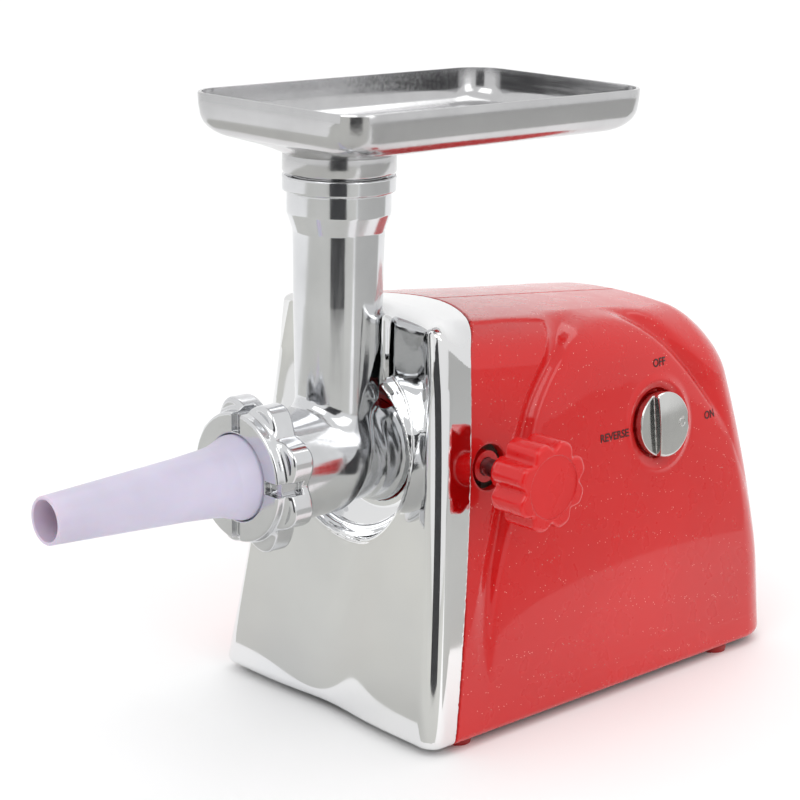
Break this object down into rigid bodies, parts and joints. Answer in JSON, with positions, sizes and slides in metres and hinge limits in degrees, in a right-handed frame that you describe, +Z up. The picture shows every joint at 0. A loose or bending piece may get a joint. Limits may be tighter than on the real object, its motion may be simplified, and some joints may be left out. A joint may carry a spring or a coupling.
{
  "type": "electric meat grinder",
  "caption": "Tabletop electric meat grinder: tapered housing with gear motor, grinding head with feed tray, auger, ring nut and sausage tube, lock knob and rotary switch.",
  "frame": {"origin": "on the table plane under the feet, on the plane of symmetry of the housing, under its middle", "axes": "+Z up; -Y towards the outlet of the sausage tube; +X towards the side with the switch and the lock knob"},
  "size_m": [0.2144, 0.4888, 0.3512],
  "materials": {
    "cowl_chrome": "chrome-plated, mirror",
    "housing_red": "high gloss with fine glitter",
    "base_black": "matt",
    "rubber": "matt",
    "steel": "satin",
    "gearbox_nylon": "matt",
    "gear_nylon": "satin",
    "aluminium": "satin",
    "laminations": "varnished laminations",
    "copper": "enamelled wire",
    "head_aluminium": "polished",
    "blade_steel": "ground",
    "tube_plastic": "translucent, lilac white",
    "tray_aluminium": "polished sheet",
    "knob_red": "high gloss",
    "dial_silver": "silver-plated, satin"
  },
  "bodies": {
    "housing": {"front_cowl": "cowl_chrome", "housing_right": "housing_red", "housing_left": "housing_red", "base_plate": "base_black", "foot_front_right": "rubber", "foot_front_left": "rubber", "foot_rear_right": "rubber", "foot_rear_left": "rubber", "base_screws": "steel", "neck_socket": "housing_red", "gearbox_case": "gearbox_nylon", "gearbox_cover": "gearbox_nylon", "gearbox_screws": "steel", "bearing_front": "steel", "bearing_rear": "steel", "motor_frame": "aluminium", "stator_core": "laminations", "field_windings": "copper", "brush_holders": "base_black", "switch_body": "base_black", "cord_inlet": "rubber"},
    "drive": {"drive_shaft": "steel", "output_gear": "gear_nylon"},
    "idler": {"idler_gear": "steel"},
    "rotor": {"rotor": "laminations", "commutator": "copper", "motor_fan": "base_black"},
    "head": {"head_casting": "head_aluminium", "cutting_plate": "blade_steel"},
    "auger": {"auger": "head_aluminium", "cutting_blade": "blade_steel"},
    "tube": {"sausage_tube": "tube_plastic"},
    "nut": {"ring_nut": "head_aluminium"},
    "tray": {"feed_tray": "tray_aluminium"},
    "screw": {"lock_screw": "steel"},
    "knob": {"lock_knob": "knob_red"},
    "dial": {"switch_dial": "dial_silver"}
  },
  "joints": [
    {"name": "drive_spin", "type": "hinge", "parent": "housing", "child": "drive", "pos_m": [0, -0.045, 0.152], "axis": [0, -1, 0], "continuous": true},
    {"name": "idler_spin", "type": "hinge", "parent": "housing", "child": "idler", "pos_m": [0, -0.04, 0.0935], "axis": [0, -1, 0], "continuous": true},
    {"name": "rotor_spin", "type": "hinge", "parent": "housing", "child": "rotor", "pos_m": [0, 0.03, 0.0575], "axis": [0, -1, 0], "continuous": true},
    {"name": "head_release", "type": "slide", "parent": "housing", "child": "head", "axis": [0, -1, 0], "range_m": [0, 0.06]},
    {"name": "auger_spin", "type": "hinge", "parent": "head", "child": "auger", "pos_m": [0, -0.13, 0.152], "axis": [0, -1, 0], "continuous": true},
    {"name": "tray_lift", "type": "slide", "parent": "head", "child": "tray", "axis": [0, 0, 1], "range_m": [0, 0.03]},
    {"name": "tube_draw", "type": "slide", "parent": "head", "child": "tube", "axis": [0, -1, 0], "range_m": [0, 0.012]},
    {"name": "nut_turn", "type": "hinge", "parent": "tube", "child": "nut", "pos_m": [0, -0.19, 0.152], "axis": [0, -1, 0], "range_deg": [0, 1460]},
    {"name": "screw_draw", "type": "slide", "parent": "housing", "child": "screw", "axis": [1, 0, 0], "range_m": [0, 0.006]},
    {"name": "knob_turn", "type": "hinge", "parent": "screw", "child": "knob", "pos_m": [0.11, -0.082, 0.152], "axis": [1, 0, 0], "range_deg": [0, 1100]},
    {"name": "switch_turn", "type": "hinge", "parent": "housing", "child": "dial", "pos_m": [0.0766, 0.0537, 0.1547], "axis": [0.9932, 0, 0.1162], "range_deg": [0, 180]}
  ],
  "couplings": [
    {"joint": "idler_spin", "follows": "drive_spin", "ratio": -4.5714},
    {"joint": "rotor_spin", "follows": "drive_spin", "ratio": 22.857},
    {"joint": "auger_spin", "follows": "drive_spin", "ratio": 1},
    {"joint": "nut_turn", "follows": "tube_draw", "rad_per_m": 2094.4},
    {"joint": "knob_turn", "follows": "screw_draw", "rad_per_m": 3141.6}
  ]
}
